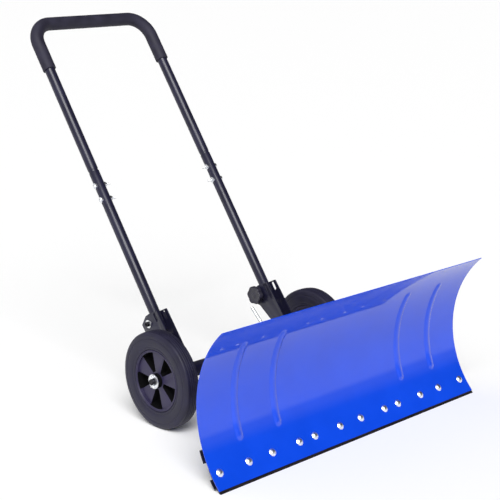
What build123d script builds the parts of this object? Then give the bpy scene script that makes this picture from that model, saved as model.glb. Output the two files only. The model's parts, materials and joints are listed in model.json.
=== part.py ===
from build123d import *
from math import asin, cos, degrees, radians, sin
import os

os.makedirs("parts", exist_ok=True)

# Wheeled snow shovel, in millimetres.
# +Z is up, the blade's hollow faces -Y, and the operator stands at +Y behind the grip.
# The origin is on the ground under the middle of the whole tool.

# ---- driving dimensions -------------------------------------------------------------------
wheel_r = 127.0          # 10 in wheel
tyre_w = 44.0            # 1.75 in tyre
wheel_x = 278.0          # middle plane of each wheel
rim_r = 80.0             # where the tyre sits on the hub
axle_r = 8.0             # 16 mm axle rod

tube_r = 14.3            # 28.6 mm handle tube
tube_wall = 1.5
handle_x = 200.0         # centre line of each handle side
handle_deg = 56.0        # slope of the handle over the ground
handle_back = 19.0       # where the handle's line crosses axle height, behind the axle
s_tube_end = 113.0       # stations along the handle's line, counted from axle height
s_pivot = 146.0
s_joint = 585.0
s_grip_end = 904.0
s_bar = 1048.0
corner_r = 62.0          # centre line of the U handle's corners
grip_r = 18.6            # foam sleeve

blade_w = 930.0
blade_r = 258.4          # hollow face of the blade
blade_cy = -609.0        # centre of the blade's arc, in front of the axle
blade_cz = 180.8
blade_t = 1.6
blade_top_z = 378.0
blade_bottom_z = 6.3

# ---- values that follow -------------------------------------------------------------------
slope = radians(handle_deg)
blade_top_a = degrees(asin((blade_top_z - blade_cz) / blade_r))
blade_bottom_a = -degrees(asin((blade_cz - blade_bottom_z) / blade_r))
front_y = blade_cy + blade_r * cos(radians(blade_top_a))
rear_y = handle_back + s_bar * cos(slope) + grip_r
axle_y = -(front_y + rear_y) / 2       # puts the origin under the middle of the tool
axle_z = wheel_r
arc_y = axle_y + blade_cy
sides = {"left": -1, "right": 1}


# ---- helpers ------------------------------------------------------------------------------
def save(name, *solids):
    """Write one node, joining loose solids in a compound without fusing them."""
    body = solids[0] if len(solids) == 1 else Compound(children=list(solids))
    export_step(body, f"parts/{name}.step")
    return body


def handle_point(s, p=0.0):
    """A point of the side view: s along the handle's line, p square behind it."""
    y = axle_y + handle_back + s * cos(slope) + p * sin(slope)
    z = axle_z + s * sin(slope) - p * cos(slope)
    return (y, z)


def blade_point(r, a):
    """A point of the side view, by radius and angle about the centre of the blade's arc."""
    return (arc_y + r * cos(radians(a)), blade_cz + r * sin(radians(a)))


def rod(start, end, r):
    """A round bar from one point to another."""
    start = Vector(*start)
    end = Vector(*end)
    line = end - start
    return Plane(origin=start, z_dir=line) * Cylinder(
        r, line.length, align=(Align.CENTER, Align.CENTER, Align.MIN))


def rod_x(y, z, x0, x1, r):
    return rod((min(x0, x1), y, z), (max(x0, x1), y, z), r)


def slab(profile, x0, x1):
    """A side-view face (y, z), extruded from x0 to x1."""
    low = min(x0, x1)
    return extrude(Plane.YZ.offset(low) * profile, amount=abs(x1 - x0))


def outline(points, r=0.0):
    """A closed straight-sided face with rounded corners."""
    face = make_face(Polyline(*points, close=True))
    return fillet(face.vertices(), r) if r else face


def band(r_in, r_out, a0, a1):
    """A stretch of a ring about the centre of the blade's arc, in the side view."""
    centre = (arc_y, blade_cz)
    inner = CenterArc(centre, r_in, a0, a1 - a0)
    outer = CenterArc(centre, r_out, a0, a1 - a0)
    return make_face([inner, outer, Line(inner @ 0, outer @ 0), Line(inner @ 1, outer @ 1)])


def hex_nut(y, z, x0, x1, across, bore_r):
    low = min(x0, x1)
    face = RegularPolygon(across / 2, 6, major_radius=False) - Circle(bore_r)
    return extrude(Plane.YZ.offset(low) * Pos(y, z) * face, amount=abs(x1 - x0))


def ring_x(y, z, x0, x1, r_out, r_in):
    return rod_x(y, z, x0, x1, r_out) - rod_x(y, z, min(x0, x1) - 1, max(x0, x1) + 1, r_in)


# ---- wheels -------------------------------------------------------------------------------
hub_face_in = 251.0      # the hub's two faces, from the middle of the tool
hub_face_out = 302.0
hub_boss_r = 19.0
hub_bore_r = 11.2
bush_r = 11.0
web_in = 266.0           # the spoked disc, and the depth of its pockets
web_out = 290.0
pocket_t = 20.0
spokes = 5


def tyre_profile():
    """Flat tread with rounded shoulders, in (x from the wheel's middle, radius)."""
    bead_half = 16.5
    side = [(bead_half, rim_r + 0.05), (20.5, 88.0), (tyre_w / 2, 97.0), (tyre_w / 2, 114.0), (20.6, 121.0),
            (16.8, 125.6), (9.0, wheel_r)]
    return make_face(Polyline(*side, *[(-x, r) for x, r in reversed(side)], close=True))


def tyre(side):
    face = Plane(origin=(side * wheel_x, axle_y, axle_z), x_dir=(1, 0, 0), z_dir=(0, -1, 0))
    return revolve(face * tyre_profile(), Axis((0, axle_y, axle_z), (1, 0, 0)), 360)


def hub(side):
    """Rim barrel, boss and a disc with five wedge pockets in its outer face, in one moulding."""
    barrel = ring_x(axle_y, axle_z, side * (wheel_x - 18), side * (wheel_x + 18), rim_r, rim_r - 6)
    boss = rod_x(axle_y, axle_z, side * hub_face_in, side * hub_face_out, hub_boss_r)
    disc = rod_x(axle_y, axle_z, side * web_in, side * web_out, rim_r - 3)
    inner_r = 22.5
    outer_r = rim_r - 7
    pocket = make_face(Polyline((inner_r, -5.5), (outer_r - 1, -23), (outer_r + 2.5, 0), (outer_r - 1, 23),
                                (inner_r, 5.5), close=True))
    pocket = fillet(pocket.vertices(), 3)
    pockets = Sketch(children=[Rot(0, 0, 60 + 360 / spokes * i) * pocket for i in range(spokes)])
    cut = slab(Pos(axle_y, axle_z) * pockets, side * (web_out - pocket_t), side * (web_out + 1))
    body = barrel + boss + (disc - cut)
    return body - rod_x(axle_y, axle_z, side * (hub_face_in - 1), side * (hub_face_out + 1), hub_bore_r)


def hub_bush(side):
    """A flanged plastic bush at each end of the hub."""
    solids = []
    for face, inward in ((hub_face_in, 1), (hub_face_out, -1)):
        sleeve = ring_x(axle_y, axle_z, side * face, side * (face + inward * 14), bush_r, axle_r + 0.08)
        solids.append(sleeve)
    return solids


for label, side in sides.items():
    save(f"tyre_{label}", tyre(side))
    save(f"hub_{label}", hub(side))
    save(f"hub_bushes_{label}", *hub_bush(side))

# ---- axle ---------------------------------------------------------------------------------
beam_half = 15.0
beam_wall = 2.5
beam_end = 240.0
axle_end = 313.0
washer_t = 2.0
pin_x = hub_face_out + washer_t + 3.2      # split pin, just outside the outer washer
pin_r = 1.6

beam = Pos(0, axle_y, axle_z) * (
    Box(2 * beam_end, 2 * beam_half, 2 * beam_half)
    - Box(2 * beam_end + 2, 2 * (beam_half - beam_wall), 2 * (beam_half - beam_wall)))
save("cross_beam", beam)

plug_half = beam_half - beam_wall - 0.1
plugs = []
for side in sides.values():
    plug = Pos(side * (beam_end - 10), axle_y, axle_z) * Box(20, 2 * plug_half, 2 * plug_half)
    plugs.append(plug - rod_x(axle_y, axle_z, side * 200, side * 250, axle_r + 0.05))
save("beam_plugs", *plugs)

pin_holes = [rod((side * pin_x, axle_y, axle_z - 12), (side * pin_x, axle_y, axle_z + 12), pin_r + 0.2)
             for side in sides.values()]
axle = chamfer(rod_x(axle_y, axle_z, -axle_end, axle_end, axle_r).edges(), 1.0)
save("axle_rod", axle - pin_holes[0] - pin_holes[1])

spacers = [ring_x(axle_y, axle_z, side * beam_end, side * 248.5, 13.0, axle_r + 0.1)
           for side in sides.values()]
save("axle_spacers", *spacers)
washers = []
for side in sides.values():
    for face in (248.6, hub_face_out + 0.3):
        washers.append(ring_x(axle_y, axle_z, side * face, side * (face + washer_t), 19.0, axle_r + 0.3))
save("axle_washers", *washers)


def split_pin(side):
    """Two legs through the axle, a round eye above it and splayed ends below."""
    x = side * pin_x
    legs = []
    for lean in (-1, 1):
        top = (x, axle_y, axle_z + 8.6)
        knee = (x, axle_y, axle_z - 8.6)
        tip = (x, axle_y + lean * 6.0, axle_z - 15.0)
        legs.append(rod(knee, tip, pin_r * 0.7))
    shaft = rod(top, knee, pin_r)
    eye = Pos(x, axle_y, axle_z + 12.4) * Rot(0, 90, 0) * Torus(3.2, 1.3)
    return shaft + legs[0] + legs[1] + eye + Pos(*knee) * Sphere(pin_r)


save("split_pins", *[split_pin(side) for side in sides.values()])

# ---- side brackets ------------------------------------------------------------------------
wall_gap = tube_r + 0.3      # inner face of each bracket wall, from the tube's centre line
wall_t = 3.0
wall_out = wall_gap + wall_t
pivot_p = 20.5               # pivot bolt, square behind the tube's centre line
bolt_r = 4.0
slot_s = 149.0
slot_p = -17.5
pivot = handle_point(s_pivot, pivot_p)

wall_points = [handle_point(162, -32), handle_point(168, 4), handle_point(168, 20),
               handle_point(155, 48), handle_point(131, 47), handle_point(117, 33),
               (axle_y + 23.0, axle_z + 10), (axle_y + 20, axle_z - 18),
               (axle_y - 19, axle_z - 18), (axle_y - 19, axle_z + 14)]
wall_face = outline(wall_points, 2.5)
beam_square = Pos(axle_y, axle_z) * Rectangle(2 * beam_half, 2 * beam_half)
slot_face = Pos(*handle_point(slot_s, slot_p)) * Rot(0, 0, handle_deg) * SlotOverall(24.5, 10)
web_face = outline([handle_point(110, 27.6), handle_point(108, 30.9),
                    (axle_y + 23.0, axle_z + 11), (axle_y + 21.0, axle_z + 15.5)])


def side_bracket(side):
    """A U channel, open to the front, saddled on the cross beam, with an ear for the pivot bolt."""
    x = side * handle_x
    walls = wall_face - beam_square - slot_face - Pos(*pivot) * Circle(bolt_r + 0.2)
    near = slab(walls, x - wall_out, x - wall_gap)
    far = slab(walls, x + wall_gap, x + wall_out)
    web = slab(web_face, x - wall_gap, x + wall_gap)
    return near + far + web


for label, side in sides.items():
    save(f"side_bracket_{label}", side_bracket(side))

# ---- pivot bolts and clamp knobs ----------------------------------------------------------
knob_r = 26.0
knob_t = 15.0
knob_collar = 3.0
pivot_washer_t = 1.8
head_t = 7.0


def pivot_bolt(side):
    """Socket-headed bolt from the outside, threaded into the knob on the inside."""
    outside = side * (handle_x + wall_out + pivot_washer_t)
    inside = side * (handle_x - wall_out - knob_collar - 11)
    shank = rod_x(*pivot, inside, outside, bolt_r)
    head = fillet(rod_x(*pivot, outside, outside + side * head_t, 6.5).edges(), 0.8)
    socket = hex_nut(*pivot, outside + side * (head_t - 4), outside + side * (head_t + 1), 6.0, 0.01)
    return shank + head - socket


def knob(side):
    """Six-lobed clamp knob with a collar towards the bracket and a blind bore."""
    start = side * (handle_x - wall_out - 1.7)
    collar = start - side * knob_collar
    lobes = [Pos(*pivot) * Rot(0, 0, 60 * i) * Pos(knob_r - 7.5, 0) * Circle(7.5) for i in range(6)]
    face = Pos(*pivot) * RegularPolygon(knob_r - 3.0, 6)
    for lobe in lobes:
        face = face + lobe
    grip = slab(face, collar, collar - side * knob_t)
    edges = grip.edges().filter_by(GeomType.LINE, reverse=True).group_by(Axis.X)
    grip = chamfer(edges[0 if side > 0 else -1], 1.2)
    body = grip + rod_x(*pivot, start, collar, 12.0)
    return body - rod_x(*pivot, start + side, collar - side * 11.0, bolt_r + 0.08)


save("pivot_bolts", *[pivot_bolt(side) for side in sides.values()])
washers = []
for side in sides.values():
    outer = side * (handle_x + wall_out)
    inner = side * (handle_x - wall_out)
    washers.append(ring_x(*pivot, outer, outer + side * pivot_washer_t, 11.0, bolt_r + 0.2))
    washers.append(ring_x(*pivot, inner, inner - side * 1.6, 11.0, bolt_r + 0.2))
save("pivot_washers", *washers)
for label, side in sides.items():
    save(f"clamp_knob_{label}", knob(side))

# ---- handle -------------------------------------------------------------------------------
sleeve_r = pivot_p - tube_r          # welded cross sleeve, tangent to the tube's back
swage_r = tube_r - tube_wall - 0.1   # reduced end of the upper tube, inside the lower one
swage_s = s_joint - 96.0
joint_bolts_s = (s_joint - 40.0, s_joint - 82.0)
joint_bolt_r = 3.0


def tube_point(x, s, p=0.0):
    return (x, *handle_point(s, p))


def cross_holes(x, stations, r):
    y_z = [handle_point(s) for s in stations]
    return [rod_x(*point, x - 40, x + 40, r) for point in y_z]


def lower_tube(side):
    x = side * handle_x
    tube = rod(tube_point(x, s_tube_end), tube_point(x, s_joint), tube_r)
    tube -= rod(tube_point(x, s_tube_end - 1), tube_point(x, s_joint + 1), tube_r - tube_wall)
    for hole in cross_holes(x, joint_bolts_s, joint_bolt_r + 0.2):
        tube -= hole
    return tube


def pivot_sleeve(side):
    x = side * handle_x
    half = wall_gap - 0.1
    sleeve = rod_x(*pivot, x - half, x + half, sleeve_r)
    return sleeve - rod_x(*pivot, x - half - 1, x + half + 1, bolt_r + 0.08)


for label, side in sides.items():
    save(f"lower_tube_{label}", lower_tube(side))
save("pivot_sleeves", *[pivot_sleeve(side) for side in sides.values()])


def bar_path(s_start):
    """Up one side, round the two corners and down the other, as one line."""
    ends = [tube_point(-handle_x, s_start), tube_point(-handle_x, s_bar),
            tube_point(handle_x, s_bar), tube_point(handle_x, s_start)]
    return FilletPolyline(*ends, radius=corner_r)


def swept(path, r_out, r_in):
    """A round pipe along a path."""
    start = Plane(origin=path @ 0, z_dir=path % 0)
    return sweep(start * Circle(r_out), path=path) - sweep(start * Circle(r_in), path=path)


def upper_handle():
    """U handle of one tube, with both lower ends swaged down to fit in the lower tubes."""
    body = swept(bar_path(s_joint + 9), tube_r, tube_r - tube_wall)
    for side in sides.values():
        x = side * handle_x
        end = rod(tube_point(x, swage_s), tube_point(x, s_joint + 1), swage_r)
        end -= rod(tube_point(x, swage_s - 1), tube_point(x, s_joint + 2), swage_r - tube_wall)
        base = Plane(origin=tube_point(x, s_joint + 1), z_dir=(0, cos(slope), sin(slope)))
        shoulder = loft([base * Circle(swage_r), base.offset(8) * Circle(tube_r)])
        shoulder -= loft([base * Circle(swage_r - tube_wall),
                          base.offset(8) * Circle(tube_r - tube_wall)])
        body = body + shoulder + end
        for hole in cross_holes(x, joint_bolts_s, joint_bolt_r + 0.2):
            body -= hole
    return body


save("upper_handle", upper_handle())
save("foam_grip", swept(bar_path(s_grip_end), grip_r, tube_r + 0.05))

saddle_t = 3.2
bolts = []
saddles = []
nuts = []
for side in sides.values():
    x = side * handle_x
    skin = rod(tube_point(x, swage_s - 60), tube_point(x, s_joint + 60), tube_r + 0.02)
    for s in joint_bolts_s:
        y, z = handle_point(s)
        out_face = x + side * (tube_r + saddle_t)
        in_face = x - side * (tube_r + saddle_t)
        shank = rod_x(y, z, in_face - side * 16, out_face, joint_bolt_r)
        head = fillet(rod_x(y, z, out_face, out_face + side * 4.0, 5.5).edges(), 0.6)
        bolts.append(shank + head)
        for face in (out_face, in_face):
            block = rod_x(y, z, x + (face - x) * 0.55, face, 7.5) - skin
            saddles.append(block - rod_x(y, z, x - 40, x + 40, joint_bolt_r + 0.2))
        nuts.append(hex_nut(y, z, in_face - side * 5.0, in_face, 10.0, joint_bolt_r + 0.05))
save("joint_bolts", *bolts)
save("saddle_washers", *saddles)
save("joint_nuts", *nuts)

# ---- blade --------------------------------------------------------------------------------
back_r = blade_r + blade_t
strip_t = 3.0
channel_t = 2.0
strip_back_r = back_r + strip_t
channel_r = strip_back_r + channel_t
bolt_a = -33.7
bolt_xs = [side * x for x in (38, 129, 182, 273, 349, 440) for side in (-1, 1)]
rib_xs = [side * x for x in (226, 351) for side in (-1, 1)]
rib_top_a = 31.0
rib_bottom_a = -19.5
rib_tube_r = 15.0        # a bead 20 mm wide and 4 mm proud
rib_sink = 11.0


def bolt_line(x, r0, r1, r):
    """A round bar square to the blade, along the radius of its arc."""
    return rod((x, *blade_point(r0, bolt_a)), (x, *blade_point(r1, bolt_a)), r)


def bead(x, r):
    """A rounded bar that follows the blade's arc, with ball ends."""
    path_r = blade_r + rib_sink
    y, z = blade_point(path_r, rib_bottom_a)
    start = Plane(origin=(x, y, z), z_dir=(0, -sin(radians(rib_bottom_a)), cos(radians(rib_bottom_a))))
    axis = Axis((x, arc_y, blade_cz), (1, 0, 0))
    bar = revolve(start * Circle(r), axis, rib_top_a - rib_bottom_a)
    ends = [Pos(x, *blade_point(path_r, a)) * Sphere(r) for a in (rib_bottom_a, rib_top_a)]
    return bar + ends[0] + ends[1]


def blade_sheet():
    sheet = slab(band(blade_r, back_r, blade_bottom_a, blade_top_a), -blade_w / 2, blade_w / 2)
    keep = slab(band(blade_r - 12, back_r - 0.5, -40, 50), -blade_w / 2, blade_w / 2)
    for x in rib_xs:
        sheet += bead(x, rib_tube_r) & keep
    for x in rib_xs:
        sheet -= bead(x, rib_tube_r - blade_t)
    for x in bolt_xs:
        sheet -= bolt_line(x, blade_r - 2, back_r + 2, 4.2)
    return sheet


def scraper_strip():
    """Wear strip behind the blade's lower edge, ground flat where it meets the floor."""
    floor_a = -degrees(asin(blade_cz / strip_back_r)) - 1.5
    strip = slab(band(back_r, strip_back_r, floor_a, -30.2), -blade_w / 2 + 1, blade_w / 2 - 1)
    strip -= Pos(0, arc_y + 190, -25) * Box(blade_w + 10, 200, 50)
    for x in bolt_xs:
        strip -= bolt_line(x, back_r - 2, strip_back_r + 2, 4.2)
    return strip


channel_low_a = -40.3
channel_high_a = -20.4
flange_d = 12.0
lip_deg = 6.5
low_lip_deg = 5.2


def edge_channel():
    """Lipped channel that stiffens the lower edge, its flanges to the rear."""
    turn = degrees(channel_t / channel_r)
    web = band(strip_back_r, channel_r, channel_low_a, channel_high_a)
    high = band(channel_r, channel_r + flange_d, channel_high_a - turn, channel_high_a)
    low = band(channel_r, channel_r + flange_d, channel_low_a, channel_low_a + turn)
    lip_in = channel_r + flange_d - channel_t
    lip = band(lip_in, channel_r + flange_d, channel_high_a - lip_deg, channel_high_a - turn)
    low_lip = band(lip_in, channel_r + flange_d, channel_low_a + turn, channel_low_a + low_lip_deg)
    face = web + high + low + lip + low_lip
    channel = slab(face, -blade_w / 2 + 4, blade_w / 2 - 4)
    for x in bolt_xs:
        channel -= bolt_line(x, strip_back_r - 2, channel_r + 2, 4.2)
    return channel


def carriage_bolt(x):
    """Domed head on the hollow face, shank to the rear."""
    head_r = 9.8
    dome = 4.8
    ball = (head_r ** 2 + dome ** 2) / (2 * dome)
    centre = (x, *blade_point(blade_r - dome + ball, bolt_a))
    cap = Pos(*centre) * Sphere(ball) & bolt_line(x, blade_r - dome - 1, blade_r - 0.25, head_r + 1)
    return cap + bolt_line(x, blade_r - 0.5, channel_r + 10, 4.0)


def channel_nut(x):
    outward = (0, cos(radians(bolt_a)), sin(radians(bolt_a)))
    seat = Plane(origin=(x, *blade_point(channel_r, bolt_a)), x_dir=(1, 0, 0), z_dir=outward)
    washer = extrude(seat * (Circle(8.0) - Circle(4.2)), amount=1.6)
    nut = extrude(seat.offset(1.6) * (RegularPolygon(6.5, 6, major_radius=False) - Circle(4.05)), amount=6.5)
    return washer, nut


save("blade_sheet", blade_sheet())
save("scraper_strip", scraper_strip())
save("edge_channel", edge_channel())
save("carriage_bolts", *[carriage_bolt(x) for x in bolt_xs])
save("edge_washers", *[channel_nut(x)[0] for x in bolt_xs])
save("edge_nuts", *[channel_nut(x)[1] for x in bolt_xs])

# ---- swivel behind the blade --------------------------------------------------------------
swivel_y = axle_y - 305.0
sector_low = 60.0
sector_t = 5.0
sector_r = 42.0
finger_t = 6.0
tongue_top = 58.0
tongue_t = 6.0
lock_turns = (-30, 0, 30)        # the blade's three locked directions
swivel_bolt_r = 6.0
gusset_x = 95.0
gusset_t = 4.0
lock_r = 4.0
lock_line_y = axle_y - 313.3     # the lock rod leans back 45 degrees: y = z + this
lock_tip_z = 75.6                # drawn clear of the fingers
lock_top_z = 267.0


def lock_point(z):
    return (0, lock_line_y + z, z)


def rear_gusset(side):
    """Plate welded on edge to the blade's back, cut round the edge channel."""
    face = outline([(axle_y - 420, sector_low), (axle_y - 295, sector_low), (axle_y - 295, 118),
                    (axle_y - 346, 306), (axle_y - 420, 306)])
    face -= Pos(arc_y, blade_cz) * Circle(back_r)
    face -= band(back_r - 5, channel_r + flange_d + 0.4, -60, channel_high_a + 1)
    return slab(face, side * gusset_x, side * (gusset_x + gusset_t))


def sector_plate():
    """Level plate that turns on the swivel bolt."""
    front = axle_y - 341.0
    back = front + 45
    face = make_face(Polyline((-gusset_x, front), (gusset_x, front), (gusset_x, back), (-gusset_x, back),
                              close=True))
    plate = extrude(Pos(0, 0, sector_low) * (face + Pos(0, swivel_y) * Circle(sector_r)), amount=sector_t)
    return plate - rod((0, swivel_y, 50), (0, swivel_y, 80), swivel_bolt_r + 0.08)


def lock_finger(start, end):
    """Wedge between two straight gaps, which point at the swivel bolt (angles from the rear)."""
    half_gap = lock_r + 0.6
    points = []
    for turn, shift in ((start, half_gap), (end, -half_gap)):
        for r in (30.0, 74.0):
            a = radians(turn)
            points.append((shift * cos(a) + r * sin(a), -shift * sin(a) + r * cos(a)))
    face = outline([points[0], points[1], points[3], points[2]], 1.5)
    return extrude(Pos(0, swivel_y, sector_low + sector_t) * face, amount=finger_t)


for label, side in sides.items():
    save(f"rear_gusset_{label}", rear_gusset(side))
save("sector_plate", sector_plate())
finger_turns = (lock_turns[0] - 24, *lock_turns, lock_turns[-1] + 24)
save("lock_fingers", *[lock_finger(a, b) for a, b in zip(finger_turns, finger_turns[1:])])


def tongue_plate():
    """Level plate under the sector, carried by the two draft arms."""
    face = make_face(Polyline((-34, swivel_y - 26), (34, swivel_y - 26), (98, axle_y - 165),
                              (98, axle_y - 118), (-98, axle_y - 118), (-98, axle_y - 165), close=True))
    plate = extrude(Pos(0, 0, tongue_top - tongue_t) * fillet(face.vertices(), 8), amount=tongue_t)
    return plate - rod((0, swivel_y, 40), (0, swivel_y, 70), swivel_bolt_r + 0.1)


save("tongue_plate", tongue_plate())


def draft_arm(side):
    """Square tube from the cross beam down to the tongue plate."""
    half = 12.5
    x0 = side * 82.5 - half
    outer = outline([(axle_y - 162, tongue_top), (axle_y - 126, tongue_top),
                     (axle_y - beam_half, axle_z - 13), (axle_y - beam_half, axle_z + 13),
                     (axle_y - 44, axle_z + 8), (axle_y - 162, tongue_top + 16)])
    inner = outline([(axle_y - 150, tongue_top + 3), (axle_y - 125, tongue_top + 3),
                     (axle_y - beam_half - 3, axle_z - 9), (axle_y - beam_half - 3, axle_z + 9),
                     (axle_y - 45, axle_z + 4), (axle_y - 150, tongue_top + 14)])
    return slab(outer, x0, x0 + 2 * half) - slab(inner, x0 + 2, x0 + 2 * half - 2)


for label, side in sides.items():
    save(f"draft_arm_{label}", draft_arm(side))


def swivel_washer(z, r):
    return Pos(0, swivel_y, z) * (Cylinder(r, 2) - Cylinder(swivel_bolt_r + 0.2, 4))


save("swivel_washers", swivel_washer(59, 16), swivel_washer(66.15, 14), swivel_washer(51, 13))
bolt_head = extrude(Pos(0, swivel_y, 67.2) * RegularPolygon(9.5, 6, major_radius=False), amount=7.5)
save("swivel_bolt", bolt_head + rod((0, swivel_y, 34), (0, swivel_y, 67.2), swivel_bolt_r))
nut_face = RegularPolygon(9.5, 6, major_radius=False) - Circle(swivel_bolt_r + 0.05)
save("swivel_nut", extrude(Pos(0, swivel_y, 39.8) * nut_face, amount=10.1))

# ---- lock rod -----------------------------------------------------------------------------
guide_low_z = 92.0
guide_high_z = 128.0
collar_z = 141.1                 # a rod's travel above the guide
save("lock_guide", rod(lock_point(guide_low_z), lock_point(guide_high_z), 8.0)
     - rod(lock_point(guide_low_z - 2), lock_point(guide_high_z + 2), lock_r + 0.08))


def guide_stay():
    """Upright plate that carries the guide over the tongue plate."""
    low_y = lock_line_y + guide_low_z
    high_y = lock_line_y + guide_high_z
    face = outline([(swivel_y + 79, tongue_top), (swivel_y + 110, tongue_top),
                    (high_y + 5.9, guide_high_z - 5.9), (high_y, guide_high_z), (low_y, guide_low_z),
                    (low_y - 2, guide_low_z - 4)])
    return slab(face, -2.5, 2.5) - rod(lock_point(60), lock_point(160), 8.0)


save("guide_stay", guide_stay())
rod_body = rod(lock_point(lock_tip_z), lock_point(lock_top_z), lock_r)
save("lock_rod", chamfer(rod_body.edges(), 0.6))
save("rod_collar", rod(lock_point(collar_z), lock_point(collar_z + 6), 7.0)
     - rod(lock_point(collar_z - 2), lock_point(collar_z + 8), lock_r))
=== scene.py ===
import bpy
import bmesh
import json
from math import cos, hypot, pi, radians, sin, sqrt, tan
from mathutils import Matrix, Vector, noise
from random import Random


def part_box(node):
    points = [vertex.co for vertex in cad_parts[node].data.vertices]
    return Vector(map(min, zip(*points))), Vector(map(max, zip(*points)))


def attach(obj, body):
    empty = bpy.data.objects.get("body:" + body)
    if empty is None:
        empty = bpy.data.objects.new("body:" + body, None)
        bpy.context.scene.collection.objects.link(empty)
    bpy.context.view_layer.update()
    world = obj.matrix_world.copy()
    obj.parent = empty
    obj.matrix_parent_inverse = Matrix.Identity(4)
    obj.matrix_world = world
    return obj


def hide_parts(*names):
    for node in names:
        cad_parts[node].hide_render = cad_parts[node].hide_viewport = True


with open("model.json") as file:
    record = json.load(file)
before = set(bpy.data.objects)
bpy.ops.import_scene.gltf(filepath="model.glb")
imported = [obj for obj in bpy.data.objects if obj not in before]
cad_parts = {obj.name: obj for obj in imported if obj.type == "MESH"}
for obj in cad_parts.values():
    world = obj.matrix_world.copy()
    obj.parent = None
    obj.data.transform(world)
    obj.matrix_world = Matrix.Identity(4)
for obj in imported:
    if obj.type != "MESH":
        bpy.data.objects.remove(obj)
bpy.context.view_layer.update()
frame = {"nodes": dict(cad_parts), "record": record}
print("frame loaded")

mm = 0.001
core = 0.05      # mm, the small radius at which a solid end is closed
sides = {"left": -1, "right": 1}
cadNodes = frame["nodes"]


def corners(node):
    low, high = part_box(node)
    return Vector(low), Vector(high)


def middleOf(node):
    return sum(corners(node), Vector()) / 2


axle = middleOf("axle_rod")


def linearColor(hexText):
    values = [int(hexText[i:i + 2], 16) / 255 for i in (0, 2, 4)]
    return tuple(v / 12.92 if v <= 0.04045 else ((v + 0.055) / 1.055) ** 2.4 for v in values) + (1.0,)


def plug(tree, node, inputs):
    # a socket is linked, anything else is set
    for label, value in inputs.items():
        if isinstance(value, bpy.types.NodeSocket):
            tree.links.new(value, node.inputs[label])
        else:
            node.inputs[label].default_value = value


def addNode(tree, kind, inputs=None):
    node = tree.nodes.new(kind)
    plug(tree, node, inputs or {})
    return node


def newMaterial(name):
    # with its tree, its surface shader and the object's own coordinates
    material = bpy.data.materials.new(name)
    material.use_nodes = True
    tree = material.node_tree
    where = addNode(tree, "ShaderNodeTexCoord").outputs["Object"]
    return material, tree, tree.nodes["Principled BSDF"], where


def makePiece(name, mesh, body, slotName, *replaced):
    piece = bpy.data.objects.new(name, mesh)
    bpy.context.scene.collection.objects.link(piece)
    mesh.materials.clear()
    mesh.materials.append(finish[slotName])
    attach(piece, body)
    if replaced:
        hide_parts(*replaced)
    return piece


def meshFrom(name, vertices, faces, sharp=40):
    mesh = bpy.data.meshes.new(name)
    mesh.from_pydata([tuple(v) for v in vertices], [], faces)
    work = bmesh.new()
    work.from_mesh(mesh)
    bmesh.ops.remove_doubles(work, verts=work.verts, dist=1e-6)
    bmesh.ops.recalc_face_normals(work, faces=work.faces)
    work.to_mesh(mesh)
    work.free()
    mesh.shade_smooth()
    mesh.set_sharp_from_angle(angle=radians(sharp))
    return mesh


def loops(rings, closed=False, cap=False):
    # faces between rings of equal length; closed joins the last ring to the first
    count = len(rings[0])
    vertices = [v for ring in rings for v in ring]
    faces = []
    last = len(rings) if closed else len(rings) - 1
    for i in range(last):
        a = i * count
        b = (i + 1) % len(rings) * count
        faces += [(a + k, a + (k + 1) % count, b + (k + 1) % count, b + k) for k in range(count)]
    if cap:
        faces += [tuple(range(count)), tuple((len(rings) - 1) * count + k for k in range(count))]
    return vertices, faces


def joined(parts):
    vertices, faces = [], []
    for partVertices, partFaces in parts:
        base = len(vertices)
        vertices += partVertices
        faces += [tuple(base + i for i in face) for face in partFaces]
    return vertices, faces


def around(steps):
    # even turns of a full circle
    return [2 * pi * k / steps for k in range(steps)]


def circle(radius, level, steps):
    return [Vector((radius * cos(turn), radius * sin(turn), level)) for turn in around(steps)]


def rotated(points, place, direction):
    # points built along +Z, turned to point along direction at place
    turn = Vector((0, 0, 1)).rotation_difference(Vector(direction)).to_matrix()
    return [Vector(place) + turn @ Vector(v) for v in points]


def placed(rings, place, direction):
    return loops([rotated(ring, place, direction) for ring in rings], cap=True)


def lathe(profile, place, steps):
    # a closed profile of (along, radius) in metres, turned about a line along X through place
    rings = [rotated(circle(radius, along, steps), place, (1, 0, 0)) for along, radius in profile]
    return loops(rings, closed=True)


def tube(path, radii, steps, cap=True):
    # radii has one radius for each point
    rings = []
    side = Vector((1, 0, 0)) if abs((path[1] - path[0]).normalized().x) < 0.9 else Vector((0, 1, 0))
    for i, point in enumerate(path):
        before = path[max(i - 1, 0)]
        after = path[min(i + 1, len(path) - 1)]
        along = (after - before).normalized()
        side = (side - side.dot(along) * along).normalized()
        up = along.cross(side)
        rings.append([point + radii[i] * (side * cos(turn) + up * sin(turn)) for turn in around(steps)])
    return loops(rings, cap=cap)


def softEdges(node, width, segments=2):
    # the CAD piece with its sharp edges rounded, as folded, ground or moulded edges are; width in mm
    mesh = cadNodes[node].data.copy()
    work = bmesh.new()
    work.from_mesh(mesh)
    bmesh.ops.remove_doubles(work, verts=work.verts, dist=1e-6)
    bmesh.ops.dissolve_limit(work, angle_limit=radians(1.0), verts=work.verts, edges=work.edges)
    sharp = [e for e in work.edges if len(e.link_faces) == 2 and e.calc_face_angle(0) > radians(32)]
    bmesh.ops.bevel(work, geom=sharp, offset=width * mm, offset_type="OFFSET", segments=segments, profile=0.5,
                    affect="EDGES", clamp_overlap=True)
    work.to_mesh(mesh)
    work.free()
    mesh.shade_smooth()
    mesh.set_sharp_from_angle(angle=radians(28))
    return makePiece(node + "_finished", mesh, bodyOf[node], slotOf[node], node)


# camera at chest height, in front and to the left, looking a little down

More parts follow.
